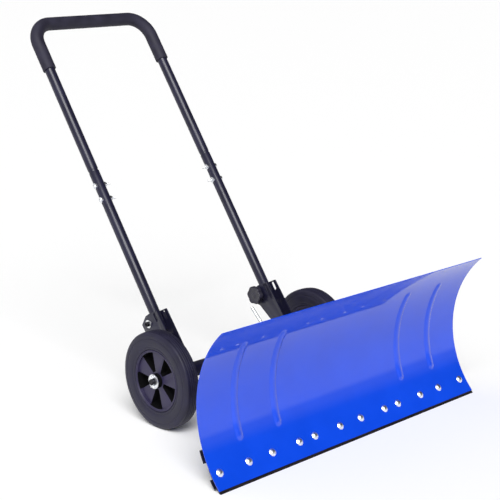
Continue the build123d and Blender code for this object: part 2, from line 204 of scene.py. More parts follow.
shot = {"place": (-2.22627, -2.48385, 1.16816), "turn": 43.47, "down": 12.99, "tilt": -1.3,
        "lens": 91.7, "sensor": 36}      # metres, degrees, and mm for lens and sensor


def makeCamera():
    data = bpy.data.cameras.new("camera")
    data.sensor_width = shot["sensor"]
    data.lens = shot["lens"]
    camera = bpy.data.objects.new("camera", data)
    bpy.context.scene.collection.objects.link(camera)
    turn = Matrix.Rotation(radians(-shot["turn"]), 4, "Z")
    down = Matrix.Rotation(radians(90 - shot["down"]), 4, "X")
    tilt = Matrix.Rotation(radians(shot["tilt"]), 4, "Z")
    camera.matrix_world = Matrix.Translation(shot["place"]) @ (turn @ down) @ tilt
    bpy.context.scene.camera = camera


makeCamera()
print("camera set")

# finishes: what each is made of and how


def mottled(tree, pattern, dark, light, smooth, rough):
    # two close colours and a range of roughness that follow one soft pattern
    blend = addNode(tree, "ShaderNodeMapRange", {"Value": pattern, "From Min": 0.35, "From Max": 0.65})
    shade = addNode(tree, "ShaderNodeMixRGB", {
        "Fac": blend.outputs["Result"], "Color1": linearColor(dark), "Color2": linearColor(light)})
    sheen = addNode(tree, "ShaderNodeMapRange", {
        "Value": pattern, "From Min": 0.3, "From Max": 0.7, "To Min": smooth, "To Max": rough})
    return {"Base Color": shade.outputs["Color"], "Roughness": sheen.outputs["Result"]}


def makeBluePaint():
    # polyester powder coat, sprayed and baked: deep gloss with a faint orange peel and sharp reflections
    material, tree, surface, where = newMaterial("blue polyester powder coat")
    cloud = addNode(tree, "ShaderNodeTexNoise", {
        "Vector": where, "Scale": 1 / (91 * mm), "Detail": 2.0}).outputs["Fac"]
    peel = addNode(tree, "ShaderNodeTexNoise", {      # waves 2.5 mm apart
        "Vector": where, "Scale": 1 / (2.5 * mm), "Detail": 2.0}).outputs["Fac"]
    relief = addNode(tree, "ShaderNodeBump", {"Height": peel, "Distance": 0.02 * mm, "Strength": 0.25})
    plug(tree, surface, mottled(tree, cloud, "0541C8", "0744CE", 0.36, 0.44))
    plug(tree, surface, {"Normal": relief.outputs["Normal"], "IOR": 1.45, "Specular IOR Level": 0.1,
                         "Coat Weight": 1.0, "Coat Roughness": 0.05, "Coat IOR": 1.58})
    return material


def makeBlackPaint():
    # black powder coat over steel: soft purple-grey sheen, fine texture
    material, tree, surface, where = newMaterial("black powder coat")
    cloud = addNode(tree, "ShaderNodeTexNoise", {
        "Vector": where, "Scale": 1 / (50 * mm), "Detail": 3.0}).outputs["Fac"]
    fine = addNode(tree, "ShaderNodeTexNoise", {      # drawn coarser than the real 0.3 mm, so that it shows
        "Vector": where, "Scale": 1 / (1.2 * mm), "Detail": 3.0}).outputs["Fac"]
    relief = addNode(tree, "ShaderNodeBump", {"Height": fine, "Distance": 0.02 * mm, "Strength": 0.35})
    plug(tree, surface, mottled(tree, cloud, "18172A", "201F35", 0.3, 0.4))
    plug(tree, surface, {"Normal": relief.outputs["Normal"], "IOR": 1.5, "Specular IOR Level": 0.3,
                         "Coat Weight": 0.2, "Coat Roughness": 0.14})
    return material


def makeZinc():
    # bright zinc plate on turned steel: pale blue-white metal with small cloudy spangles
    material, tree, surface, where = newMaterial("bright zinc plate")
    spangle = addNode(tree, "ShaderNodeTexNoise", {      # spangles about 4 mm across
        "Vector": where, "Scale": 1 / (4 * mm), "Detail": 4.0}).outputs["Fac"]
    fine = addNode(tree, "ShaderNodeTexNoise", {      # turning marks, drawn coarser than the real ones
        "Vector": where, "Scale": 1 / (1.0 * mm), "Detail": 2.0}).outputs["Fac"]
    relief = addNode(tree, "ShaderNodeBump", {"Height": fine, "Distance": 0.01 * mm, "Strength": 0.25})
    plug(tree, surface, mottled(tree, spangle, "DDE0E5", "FBFCFD", 0.3, 0.4))
    plug(tree, surface, {"Normal": relief.outputs["Normal"], "Metallic": 1.0})
    return material


def makeStripSteel():
    # hot-rolled spring steel, oiled: brown-black scale with long rolling streaks
    material, tree, surface, where = newMaterial("hot rolled spring steel")
    along = addNode(tree, "ShaderNodeMapping", {"Vector": where, "Scale": (0.04, 1, 1)}).outputs["Vector"]
    streaks = addNode(tree, "ShaderNodeTexNoise", {      # streaks 3 mm wide
        "Vector": along, "Scale": 1 / (3 * mm), "Detail": 4.0}).outputs["Fac"]
    relief = addNode(tree, "ShaderNodeBump", {"Height": streaks, "Distance": 0.05 * mm, "Strength": 0.4})
    plug(tree, surface, mottled(tree, streaks, "161316", "2B2425", 0.45, 0.62))
    plug(tree, surface, {"Normal": relief.outputs["Normal"], "Metallic": 0.4, "Specular IOR Level": 0.3})
    return material


def makeRubber():
    # moulded solid rubber: matt, slightly bloomed, with a fine moulded grain
    material, tree, surface, where = newMaterial("moulded solid rubber")
    bloom = addNode(tree, "ShaderNodeTexNoise", {
        "Vector": where, "Scale": 1 / (30.3 * mm), "Detail": 4.0}).outputs["Fac"]
    fine = addNode(tree, "ShaderNodeTexNoise", {
        "Vector": where, "Scale": 1 / (1.0 * mm), "Detail": 2.0}).outputs["Fac"]
    relief = addNode(tree, "ShaderNodeBump", {"Height": fine, "Distance": 0.03 * mm, "Strength": 0.35})
    plug(tree, surface, mottled(tree, bloom, "19172A", "201E34", 0.42, 0.56))
    plug(tree, surface, {"Normal": relief.outputs["Normal"], "IOR": 1.5, "Specular IOR Level": 0.36})
    return material


def makeHubPlastic():
    # injection moulded polypropylene: satin skin, a touch lighter than the tyre
    material, tree, surface, where = newMaterial("moulded polypropylene")
    flow = addNode(tree, "ShaderNodeTexNoise", {
        "Vector": where, "Scale": 1 / (25 * mm), "Detail": 2.0}).outputs["Fac"]
    fine = addNode(tree, "ShaderNodeTexNoise", {
        "Vector": where, "Scale": 1 / (0.8 * mm), "Detail": 2.0}).outputs["Fac"]
    relief = addNode(tree, "ShaderNodeBump", {"Height": fine, "Distance": 0.02 * mm, "Strength": 0.3})
    plug(tree, surface, mottled(tree, flow, "28243F", "302B47", 0.36, 0.48))
    plug(tree, surface, {"Normal": relief.outputs["Normal"], "IOR": 1.49, "Specular IOR Level": 0.36})
    return material


def makePocketPaintedShade():
    # painted shade: a near-black colour for the hub's pocket faces and the boss's side, standing in for the
    # shade that falls in them
    material, tree, surface, where = newMaterial("painted shade for hub pockets")
    speck = addNode(tree, "ShaderNodeTexNoise", {
        "Vector": where, "Scale": 1 / (2 * mm), "Detail": 3.0}).outputs["Fac"]
    plug(tree, surface, mottled(tree, speck, "030304", "08080B", 0.75, 0.9))
    plug(tree, surface, {"IOR": 1.49, "Specular IOR Level": 0.1})
    return material


def makeNylon():
    # turned natural nylon: milky white, waxy
    material, tree, surface, where = newMaterial("turned nylon")
    rings = addNode(tree, "ShaderNodeTexNoise", {
        "Vector": where, "Scale": 1 / (1.5 * mm), "Detail": 3.0}).outputs["Fac"]
    plug(tree, surface, mottled(tree, rings, "CFCDC4", "E2E0D8", 0.4, 0.55))
    plug(tree, surface, {"IOR": 1.53, "Subsurface Weight": 0.15, "Subsurface Scale": 3 * mm})
    return material


def makeKnobPlastic():
    # glass-filled nylon, moulded: dark, with a slightly shiny skin
    material, tree, surface, where = newMaterial("moulded glass-filled nylon")
    skin = addNode(tree, "ShaderNodeTexNoise", {
        "Vector": where, "Scale": 1 / (8 * mm), "Detail": 3.0}).outputs["Fac"]
    fine = addNode(tree, "ShaderNodeTexNoise", {
        "Vector": where, "Scale": 1 / (0.8 * mm), "Detail": 2.0}).outputs["Fac"]
    relief = addNode(tree, "ShaderNodeBump", {"Height": fine, "Distance": 0.03 * mm, "Strength": 0.4})
    plug(tree, surface, mottled(tree, skin, "211F2B", "2C2A38", 0.32, 0.46))
    plug(tree, surface, {"Normal": relief.outputs["Normal"], "IOR": 1.53, "Specular IOR Level": 0.5})
    return material


def makeFoam():
    # closed-cell foam sleeve: matt skin with small cells and faint wrinkles
    material, tree, surface, where = newMaterial("closed-cell foam")
    cells = addNode(tree, "ShaderNodeTexVoronoi", {
        "Vector": where, "Scale": 1 / (1.6 * mm)}).outputs["Distance"]
    patches = addNode(tree, "ShaderNodeTexNoise", {
        "Vector": where, "Scale": 1 / (35.7 * mm), "Detail": 4.0}).outputs["Fac"]
    folds = addNode(tree, "ShaderNodeTexNoise", {      # wrinkles 5 mm apart
        "Vector": where, "Scale": 1 / (5 * mm), "Detail": 3.0}).outputs["Fac"]
    under = addNode(tree, "ShaderNodeBump", {"Height": folds, "Distance": 0.25 * mm, "Strength": 0.5})
    relief = addNode(tree, "ShaderNodeBump", {
        "Height": cells, "Distance": 0.08 * mm, "Strength": 0.5, "Normal": under.outputs["Normal"]})
    plug(tree, surface, mottled(tree, patches, "1F1D2B", "2A2838", 0.55, 0.72))
    plug(tree, surface, {"Normal": relief.outputs["Normal"], "IOR": 1.45, "Specular IOR Level": 0.35})
    return material


def makeOxideSteel():
    # black-oxide screw steel: near black with an oily shine
    material, tree, surface, where = newMaterial("black oxide steel")
    spots = addNode(tree, "ShaderNodeTexNoise", {
        "Vector": where, "Scale": 1 / (3 * mm), "Detail": 3.0}).outputs["Fac"]
    fine = addNode(tree, "ShaderNodeTexNoise", {
        "Vector": where, "Scale": 1 / (0.7 * mm), "Detail": 2.0}).outputs["Fac"]
    relief = addNode(tree, "ShaderNodeBump", {"Height": fine, "Distance": 0.01 * mm, "Strength": 0.3})
    plug(tree, surface, mottled(tree, spots, "1B1A1F", "2E2D35", 0.3, 0.45))
    plug(tree, surface, {"Normal": relief.outputs["Normal"], "Metallic": 0.7})
    return material


finish = {
    "blue_paint": makeBluePaint(), "black_paint": makeBlackPaint(), "zinc": makeZinc(),
    "steel_strip": makeStripSteel(), "tyre": makeRubber(), "hub_plastic": makeHubPlastic(),
    "bush_plastic": makeNylon(), "knob_plastic": makeKnobPlastic(), "foam": makeFoam(),
    "dark_bolt": makeOxideSteel()}
# near-black painted shade for the hub pockets and the boss's side
pocketPaintedShade = makePocketPaintedShade()

bodyOf = {}
for bodyName, bodyNodes in frame["record"]["behaviour"]["bodies"].items():
    for nodeName in bodyNodes:
        bodyOf[nodeName] = bodyName
slotOf = {row["node"]: row["material_slot"] for row in frame["record"]["subparts"]}
for nodeName, nodeObject in cadNodes.items():
    nodeObject.data.materials.clear()
    nodeObject.data.materials.append(finish[slotOf[nodeName]])
print("materials made")

# plates, tubes and brackets with their edges rounded

edgeWidth = {   # mm
    "side_bracket_left": 0.9, "side_bracket_right": 0.9, "cross_beam": 2.2, "draft_arm_left": 1.6,
    "draft_arm_right": 1.6, "tongue_plate": 0.8, "sector_plate": 0.8, "lock_fingers": 0.8, "guide_stay": 0.7,
    "rear_gusset_left": 0.7, "rear_gusset_right": 0.7, "lower_tube_left": 0.4, "lower_tube_right": 0.4,
    "scraper_strip": 0.5, "edge_channel": 0.6, "pivot_washers": 0.35, "axle_washers": 0.4,
    "swivel_washers": 0.4, "edge_washers": 0.3, "lock_guide": 0.6, "rod_collar": 0.6, "axle_spacers": 0.6,
    "pivot_sleeves": 0.4, "saddle_washers": 0.4, "beam_plugs": 0.4, "upper_handle": 0.3}
for nodeName, width in edgeWidth.items():
    softEdges(nodeName, width)
print("edges rounded")

# wheels

wheel = {"outer": 127, "rim": 80.05, "seat": 16.5, "steps": 144, "hubEdge": 1.3,
         "tread": 17.0, "crown": 1.3, "ribs": 5, "grooveHalf": 0.8, "grooveDepth": 1.3, "grooveLip": 0.4,
         "discFace": 12, "pocketDepth": 20, "pocketInner": 21, "pocketOuter": 76, "boss": 20}      # mm
sidewall = [      # (across, radius) in mm: bead, two moulded steps, shoulder
    (wheel["seat"], wheel["rim"]), (18.6, 81.0), (20.0, 82.6), (20.6, 85.0), (20.4, 86.6), (19.8, 87.2),
    (19.9, 88.2), (20.7, 90.0), (21.5, 94.0), (21.9, 99.0), (21.9, 105.0), (21.6, 109.5), (21.1, 110.2),
    (21.2, 111.0), (21.8, 111.8), (21.7, 114.5), (21.1, 118.0), (20.0, 121.4), (18.6, 124.0), (17.6, 125.3)]
rimLip = [(17.0, 79.9), (18.9, 79.7), (19.6, 79.0), (19.7, 78.0), (19.2, 77.2), (18.0, 76.6), (17.0, 76.4)]


def treadHeight(x):
    return wheel["outer"] - wheel["crown"] * (x / wheel["tread"]) ** 2


def tyreProfile():
    # one sidewall, a crowned tread with a groove between each two ribs, and the other sidewall
    edge = wheel["tread"]
    half = wheel["grooveHalf"]
    lip = half + wheel["grooveLip"]
    tread = [(edge, treadHeight(edge))]
    for i in range(1, wheel["ribs"]):
        x = edge - 2 * edge / wheel["ribs"] * i
        top = treadHeight(x)
        bottom = top - wheel["grooveDepth"]
        tread += [(x + lip, top), (x + half, top - 0.3), (x + half * 0.6, bottom),
                  (x - half * 0.6, bottom), (x - half, top - 0.3), (x - lip, top)]
    tread.append((-edge, treadHeight(edge)))
    return sidewall + tread + [(-x, r) for x, r in reversed(sidewall)]


def makeTyre(label, side):
    profile = [(x * side * mm, r * mm) for x, r in tyreProfile()]
    mesh = meshFrom("tyre", *lathe(profile, middleOf("tyre_" + label), wheel["steps"]), sharp=35)
    makePiece("tyre_" + label + "_moulded", mesh, "wheel_" + label, "tyre", "tyre_" + label)


def makeHub(label, side):
    piece = softEdges("hub_" + label, wheel["hubEdge"], 3)
    piece.data.materials.append(pocketPaintedShade)
    centre = middleOf("tyre_" + label)
    for polygon in piece.data.polygons:      # pockets and the boss's side get the near-black painted shade
        out = (polygon.center.x - centre.x) * side / mm - wheel["discFace"]
        r = hypot(polygon.center.y - centre.y, polygon.center.z - centre.z) / mm
        deep = -wheel["pocketDepth"] - 0.8 < out < -1.4
        pocket = deep and wheel["pocketInner"] < r < wheel["pocketOuter"]
        bossSide = out > 0.5 and r < wheel["boss"] and abs(polygon.normal.x) < 0.5
        if pocket or bossSide:
            polygon.material_index = 1
    for face in (-1, 1):
        profile = [(face * x * mm, r * mm) for x, r in rimLip]
        mesh = meshFrom("rim lip", *lathe(profile, centre, wheel["steps"]), sharp=50)
        name = "rim_lip_" + label + ("_outer" if face == side else "_inner")
        makePiece(name, mesh, "wheel_" + label, "hub_plastic")


for label, side in sides.items():
    makeTyre(label, side)
    makeHub(label, side)
print("wheels made")

# blade, one pressed and rolled sheet

blade = {"radius": 258.4, "thickness": 1.6, "centreZ": 180.8, "low": -42.47, "high": 49.74, "rows": 150,
         "ribs": (226, 351), "ribTop": 31.0, "ribBottom": -19.5, "ribTube": 15.0, "ribSink": 11.0,
         "ribFoot": 1.1, "footDrop": 0.12, "ribStep": 1.25, "ribSteps": 14, "flatStep": 25.0, "flatSteps": 18,
         "flatClear": 19, "edgeStrip": 0.8}      # mm and degrees
bladeBack = corners("blade_sheet")[1]
arcY = bladeBack.y / mm - blade["radius"] - blade["thickness"]


def onBlade(x, angle, depth):
    # a point of the rolled sheet, depth behind its plain face, from mm and degrees
    r = blade["radius"] + depth
    turn = radians(angle)
    return Vector((x * mm, (arcY + r * cos(turn)) * mm, (blade["centreZ"] + r * sin(turn)) * mm))


def ribHeight(x, angle):
    # how far the pressed ribs stand into the hollow, with soft feet
    best = 0
    for rib in blade["ribs"]:
        beyond = max(angle - blade["ribTop"], blade["ribBottom"] - angle, 0) * radians(1) * blade["radius"]
        away = hypot(abs(x) - rib, beyond)
        if away < blade["ribTube"]:
            rise = sqrt(blade["ribTube"] ** 2 - away ** 2) - blade["ribSink"]
            soft = 0.5 * (rise + sqrt(rise ** 2 + blade["ribFoot"] ** 2))
            best = max(best, soft - blade["footDrop"])
    return max(best, 0)


def bladeColumns():
    # close together across each rib, wide apart on the plain sheet
    half = bladeBack.x / mm
    columns = {-half, half, -half + blade["edgeStrip"], half - blade["edgeStrip"]}
    reach = blade["ribSteps"]
    for rib in blade["ribs"]:
        for side in (-1, 1):
            columns |= {side * rib + blade["ribStep"] * i for i in range(-reach, reach + 1)}
    for i in range(-blade["flatSteps"], blade["flatSteps"] + 1):
        x = blade["flatStep"] * i
        if all(abs(abs(x) - rib) > blade["flatClear"] for rib in blade["ribs"]):
            columns.add(x)
    return sorted(columns)


def makeBlade():
    columns = bladeColumns()
    span = blade["high"] - blade["low"]
    turns = [blade["low"] + span * i / blade["rows"] for i in range(blade["rows"] + 1)]
    vertices = [onBlade(x, angle, depth - ribHeight(x, angle))
                for depth in (0, blade["thickness"]) for x in columns for angle in turns]
    tall = len(turns)
    wide = len(columns)
    back = tall * wide      # step from a point of the face to the one behind it
    faces = []
    for base in (0, back):
        for i in range(wide - 1):
            for j in range(tall - 1):
                a = base + i * tall + j
                faces.append((a, a + 1, a + 1 + tall, a + tall))
    for i in range(wide - 1):      # lower and upper edge
        for j in (0, tall - 1):
            a = i * tall + j
            faces.append((a, a + tall, a + tall + back, a + back))
    for j in range(tall - 1):      # both ends
        for i in (0, wide - 1):
            a = i * tall + j
            faces.append((a, a + 1, a + 1 + back, a + back))
    mesh = meshFrom("blade sheet", vertices, faces, sharp=45)
    makePiece("blade_sheet_pressed", mesh, "blade", "blue_paint", "blade_sheet")


makeBlade()
print("blade made")

# handle: foam grip

handle = {"slope": 56.0, "tube": 14.3, "grip": 18.6, "corner": 62.0, "step": 3.0, "endRound": 2.2,
          "ripple": 0.22, "wavesPerMetre": 55, "slack": 0.15, "fit": 0.05, "steps": 40}      # mm and degrees
slope = radians(handle["slope"])


def roundedPath(points, radius, step):
    # straight runs joined by round corners, with a point at every step
    path = [points[0]]

    def runTo(end):
        start = path[-1]
        count = max(1, round((end - start).length / step))
        path.extend(start.lerp(end, (i + 1) / count) for i in range(count))

    for before, corner, after in zip(points, points[1:], points[2:]):
        into = (corner - before).normalized()
        out = (after - corner).normalized()
        turn = into.angle(out)
        reach = radius * tan(turn / 2)
        runTo(corner - into * reach)
        centre = corner - into * reach + (out - out.dot(into) * into).normalized() * radius
        spoke = path[-1] - centre
        axis = into.cross(out).normalized()
        count = max(2, round(radius * turn / step))
        path.extend(centre + Matrix.Rotation(turn * (i + 1) / count, 3, axis) @ spoke for i in range(count))
    runTo(points[-1])
    return path


def makeGrip():
    low, high = corners("foam_grip")
    r = handle["grip"] * mm
    startY = low.y + r * sin(slope)
    startZ = low.z + r * cos(slope)
    x = high.x - r
    points = [Vector((-x, startY, startZ)), Vector((-x, high.y - r, high.z - r)),
              Vector((x, high.y - r, high.z - r)), Vector((x, startY, startZ))]
    path = roundedPath(points, handle["corner"] * mm, handle["step"] * mm)
    sizes = []
    run = 0
    for before, point in zip(path, path[1:-1]):      # slight waves, as foam pushed onto a tube has
        run += (point - before).length
        wave = noise.noise(Vector((run * handle["wavesPerMetre"], 0.3, 0.7))) * handle["ripple"] * mm
        sizes.append(r - (handle["slack"] * mm - wave * 0.5))
    soft = handle["endRound"] * mm
    close = [soft * part for part in (0.15, 0.5, 1.2)]      # rings that round the cut ends
    ends = [r - (soft - sqrt(soft ** 2 - max(soft - distance, 0) ** 2)) for distance in close]
    start = [path[0] + (path[1] - path[0]).normalized() * distance for distance in close]
    stop = [path[-1] + (path[-2] - path[-1]).normalized() * distance for distance in reversed(close)]
    path = [path[0], path[0]] + start + path[1:-1] + stop + [path[-1], path[-1]]
    bore = (handle["tube"] + handle["fit"]) * mm
    sizes = [bore, r - soft] + ends + sizes + ends[::-1] + [r - soft, bore]
    mesh = meshFrom("foam grip", *tube(path, sizes, handle["steps"], cap=False), sharp=60)
    piece = makePiece("foam_grip_sleeve", mesh, "handle", "foam", "foam_grip")


makeGrip()
print("grip made")

# clamp knobs

knob = {"lobes": 6, "outer": 26.0, "waist": 23.0, "lobeShape": 0.75, "dish": 1.4, "round": 2.2, "cap": 7.0,
        "collar": 12.0, "collarLength": 3.0, "steps": 120}      # mm


def makeKnob(label, side):
    low, high = corners("clamp_knob_" + label)
    pivot = (low + high) / 2
    start = low.x if side < 0 else high.x      # the face next to the bracket
    length = (high.x - low.x) / mm
    collar, neck = knob["collar"], knob["collarLength"]
    dish = length - knob["dish"]
    cap = knob["cap"]
    # (distance from the bracket, part of the lobed outline or None, radius where it is plain)
    sections = [(0.0, None, collar - 1.5), (0.0, None, collar), (0.4, None, collar), (neck, None, collar),
                (neck, 0.72, 0), (3.1, 0.93, 0), (3.6, 0.975, 0), (4.8, 1.0, 0),
                (length - knob["round"], 1.0, 0), (length - 0.9, 0.985, 0), (length - 0.25, 0.955, 0),
                (length, 0.91, 0), (length, 0.86, 0), (length - 0.5, 0.80, 0), (dish, 0.74, 0),
                (dish, 0.50, 0), (dish, None, cap + 0.8), (length - 0.6, None, cap),
                (length - 0.2, None, cap - 1.0), (length - 0.1, None, 0.3)]
    rings = []
    for distance, scale, plain in sections:
        ring = []
        for turn in around(knob["steps"]):
            wave = 0.5 + 0.5 * cos(knob["lobes"] * turn)
            lobe = knob["waist"] + (knob["outer"] - knob["waist"]) * wave ** knob["lobeShape"]
            r = plain if scale is None else lobe * scale
            ring.append(Vector((start - side * distance * mm, pivot.y + r * cos(turn) * mm,
                                pivot.z + r * sin(turn) * mm)))
        rings.append(ring)
    mesh = meshFrom("clamp knob", *loops(rings, cap=True), sharp=38)
    node = "clamp_knob_" + label
    makePiece(node + "_moulded", mesh, "knob_" + label, "knob_plastic", node)


for label, side in sides.items():
    makeKnob(label, side)
print("knobs made")

# fasteners

thread = {"pitch": 1.25, "depth": 0.45, "tip": 0.6, "tipBevel": 1.0, "steps": 28}      # mm
hexagon = {"rim": 0.96, "chamfer": 30, "steps": 72}      # part of the flats, degrees
dome = {"rim": 0.35, "rings": 9, "steps": 40}      # mm


def hexBody(across, height, bore, nylon=0.0):
    # a nut or bolt head along +Z with both rims chamfered; a nylon collar stands on top if asked
    turns = around(hexagon["steps"])
    flat = across / 2
    rim = flat * hexagon["rim"]
    reach = [flat / cos(turn % (pi / 3) - pi / 6) for turn in turns]
    drop = [(size - rim) * tan(radians(hexagon["chamfer"])) for size in reach]

    def plain(size, level):
        return circle(size * mm, level * mm, hexagon["steps"])

    def cornered(levels):
        return [Vector((size * cos(turn) * mm, size * sin(turn) * mm, level * mm))
                for turn, size, level in zip(turns, reach, levels)]

    rings = [plain(bore, 0), plain(rim, 0), cornered(drop), cornered([height - d for d in drop]),
             plain(rim, height)]
    top = height + nylon
    if nylon:
        rings += [plain(flat * 0.88, height), plain(flat * 0.86, top - 0.5), plain(flat * 0.78, top)]
    rings.append(plain(bore, top))
    return rings


def boltEnd(radius, length):
    # threaded shank along +Z with a bevelled tip
    root = radius - thread["depth"]
    profile = [(0, core), (0, root)]
    level = 0
    while level + thread["pitch"] < length - 0.8:
        profile += [(level + thread["pitch"] * 0.5, radius), (level + thread["pitch"], root)]
        level += thread["pitch"]
    profile += [(length - thread["tip"], radius - 0.15), (length, radius - thread["tipBevel"]),
                (length, core)]
    return [circle(r * mm, z * mm, thread["steps"]) for z, r in profile]


def domeHead(radius, height):
    # pressed dome along +Z with a thin rim
    ball = (radius ** 2 + height ** 2) / (2 * height)
    profile = [(0, core), (0, radius * 0.97), (dome["rim"], radius)]
    for i in range(1, dome["rings"] + 1):
        r = radius * (1 - (i / dome["rings"]) ** 1.1 * 0.999)
        profile.append((max(0.5, sqrt(max(ball ** 2 - r ** 2, 0)) - (ball - height)), r))
    return [circle(r * mm, z * mm, dome["steps"]) for z, r in profile]


def islands(node):
    # the middle of each loose piece of a CAD node, with its low and high corners
    work = bmesh.new()
    work.from_mesh(cadNodes[node].data)
    bmesh.ops.remove_doubles(work, verts=work.verts, dist=1e-6)
    left = set(work.verts)
    found = []
    while left:
        stack = [left.pop()]
        group = [stack[0].co.copy()]
        while stack:
            for edge in stack.pop().link_edges:
                for vertex in edge.verts:
                    if vertex in left:
                        left.remove(vertex)
                        stack.append(vertex)
                        group.append(vertex.co.copy())
        low = Vector([min(v[i] for v in group) for i in range(3)])
        high = Vector([max(v[i] for v in group) for i in range(3)])
        found.append(((low + high) / 2, low, high))
    work.free()
    return sorted(found, key=lambda one: (round(one[0].x, 4), round(one[0].z, 4)))


def sideways(middle, low, high):
    # which side of the tool a loose piece is on, and its outer and inner end
    if middle.x > 0:
        return 1, high.x, low.x
    return -1, low.x, high.x


joint = {"bolt": 3.0, "head": 5.5, "headHeight": 4.0, "across": 10.0, "nut": 3.4, "nylon": 1.6,
         "tail": 7.5}      # mm


def makeJointBolts():
    bolts, nuts = [], []
    for middle, low, high in islands("joint_bolts"):
        side, outer, inner = sideways(middle, low, high)
        seat = Vector((outer - side * joint["headHeight"] * mm, middle.y, middle.z))
        tail = Vector((inner + side * joint["tail"] * mm, middle.y, middle.z))
        bolts.append(placed(domeHead(joint["head"], joint["headHeight"]), seat, (side, 0, 0)))
        bolts.append(placed(boltEnd(joint["bolt"], joint["tail"]), tail, (-side, 0, 0)))
    mesh = meshFrom("joint bolts", *joined(bolts), sharp=30)
    makePiece("joint_bolts_turned", mesh, "handle", "zinc", "joint_bolts")
    for middle, low, high in islands("joint_nuts"):
        side, outer, inner = sideways(middle, low, high)
        body = hexBody(joint["across"], joint["nut"], joint["bolt"], joint["nylon"])
        nuts.append(placed(body, Vector((outer, middle.y, middle.z)), (-side, 0, 0)))
    mesh = meshFrom("joint nuts", *joined(nuts), sharp=25)
    makePiece("joint_nuts_pressed", mesh, "handle", "zinc", "joint_nuts")


edgeBolt = {"turn": -33.7, "head": 9.8, "dome": 4.8, "shank": 4.0, "nutSeat": 8.2, "nut": 6.5, "across": 13.0,
            "tail": 8.4}      # mm and degrees


def makeEdgeBolts():
    turn = radians(edgeBolt["turn"])
    outward = Vector((0, cos(turn), sin(turn)))
    bolts, nuts = [], []
    for middle, low, high in islands("carriage_bolts"):
        seat = onBlade(middle.x / mm, edgeBolt["turn"], 0)
        behind = seat + outward * edgeBolt["nutSeat"] * mm
        bolts.append(placed(domeHead(edgeBolt["head"], edgeBolt["dome"]), seat, -outward))
        bolts.append(placed(boltEnd(edgeBolt["shank"], edgeBolt["tail"]), behind, outward))
        nuts.append(placed(hexBody(edgeBolt["across"], edgeBolt["nut"], edgeBolt["shank"]), behind, outward))
    mesh = meshFrom("carriage bolts", *joined(bolts), sharp=30)
    makePiece("carriage_bolts_pressed", mesh, "blade", "zinc", "carriage_bolts")
    mesh = meshFrom("edge nuts", *joined(nuts), sharp=25)
    makePiece("edge_nuts_pressed", mesh, "blade", "zinc", "edge_nuts")


swivelBolt = {"across": 19.0, "head": 7.5, "shank": 6.0, "nut": 7.6, "nylon": 2.5}      # mm


def makeSwivelBolt():
    low, high = corners("swivel_bolt")
    middle = (low + high) / 2
    head = Vector((middle.x, middle.y, high.z - swivelBolt["head"] * mm))
    bolt = [placed(hexBody(swivelBolt["across"], swivelBolt["head"], core), head, (0, 0, 1)),
            placed(boltEnd(swivelBolt["shank"], (head.z - low.z) / mm), head, (0, 0, -1))]
    mesh = meshFrom("swivel bolt", *joined(bolt), sharp=25)
    makePiece("swivel_bolt_turned", mesh, "frame", "zinc", "swivel_bolt")
    low, high = corners("swivel_nut")
    seat = Vector(((low.x + high.x) / 2, (low.y + high.y) / 2, high.z))
    nut = hexBody(swivelBolt["across"], swivelBolt["nut"], swivelBolt["shank"], swivelBolt["nylon"])
    mesh = meshFrom("swivel nut", *placed(nut, seat, (0, 0, -1)), sharp=25)
    makePiece("swivel_nut_pressed", mesh, "frame", "zinc", "swivel_nut")


pivotBolt = {"shank": 4.0, "head": 6.5, "height": 7.0, "socket": 3.1, "socketDepth": 4.0, "knurl": 0.14,
             "steps": 96}      # mm


def capScrewHead():
    # knurled rim, chamfered top and a hexagon socket, along +Z
    head, top = pivotBolt["head"], pivotBolt["height"]
    bottom = top - pivotBolt["socketDepth"]
    profile = [(0, core), (0, head - 0.2), (0.4, head), (top - 1.1, head), (top - 0.3, head - 0.4),
               (top, head - 1.0), (top, None), (bottom, None), (bottom, core)]      # None: the hexagon
    rings = []
    for level, r in profile:
        ring = []
        for k, turn in enumerate(around(pivotBolt["steps"])):
            size = pivotBolt["socket"] / cos(turn % (pi / 3) - pi / 6) if r is None else r
            if r == head and k % 2:
                size -= pivotBolt["knurl"]
            ring.append(Vector((size * cos(turn) * mm, size * sin(turn) * mm, level * mm)))
        rings.append(ring)
    return rings


def makePivotBolts():
    bolts = []
    for middle, low, high in islands("pivot_bolts"):
        side, outer, inner = sideways(middle, low, high)
        seat = Vector((outer - side * pivotBolt["height"] * mm, middle.y, middle.z))
        bolts.append(placed(capScrewHead(), seat, (side, 0, 0)))
        bolts.append(placed(boltEnd(pivotBolt["shank"], abs(seat.x - inner) / mm), seat, (-side, 0, 0)))
    mesh = meshFrom("pivot bolts", *joined(bolts), sharp=25)
    makePiece("pivot_bolts_turned", mesh, "frame", "dark_bolt", "pivot_bolts")


splitPin = {"wire": 1.15, "eye": 3.4, "eyeHeight": 12.4, "straight": 8.2, "bend": 7.6, "splay": 6.5,
            "gap": 1.1}      # mm


def makeSplitPins():
    pins = []
    eye, straight = splitPin["eye"], splitPin["straight"]
    for middle, low, high in islands("split_pins"):
        centre = Vector((middle.x, axle.y, axle.z))
        for lean in (-1, 1):
            path = []
            shift = lean * splitPin["gap"] / 2
            for i in range(15):      # half of the eye
                turn = pi / 2 - lean * (pi * 0.92) * i / 14
                path.append((eye * cos(turn), splitPin["eyeHeight"] + eye * sin(turn)))
            path += [(shift, straight), (shift, 0), (shift, -straight)]
            for i in range(1, 9):      # splayed below the axle
                part = i / 8
                spread = shift + lean * splitPin["splay"] * part ** 1.6
                path.append((spread, -straight - splitPin["bend"] * part))
            wire = [centre + Vector((0, y, z)) * mm for y, z in path]
            pins.append(tube(wire, [splitPin["wire"] * mm] * len(wire), 10))
    mesh = meshFrom("split pins", *joined(pins), sharp=50)
    makePiece("split_pins_bent", mesh, "frame", "zinc", "split_pins")


makeJointBolts()
makeEdgeBolts()
makeSwivelBolt()
makePivotBolts()
makeSplitPins()
print("fasteners made")

# weld beads, painted over

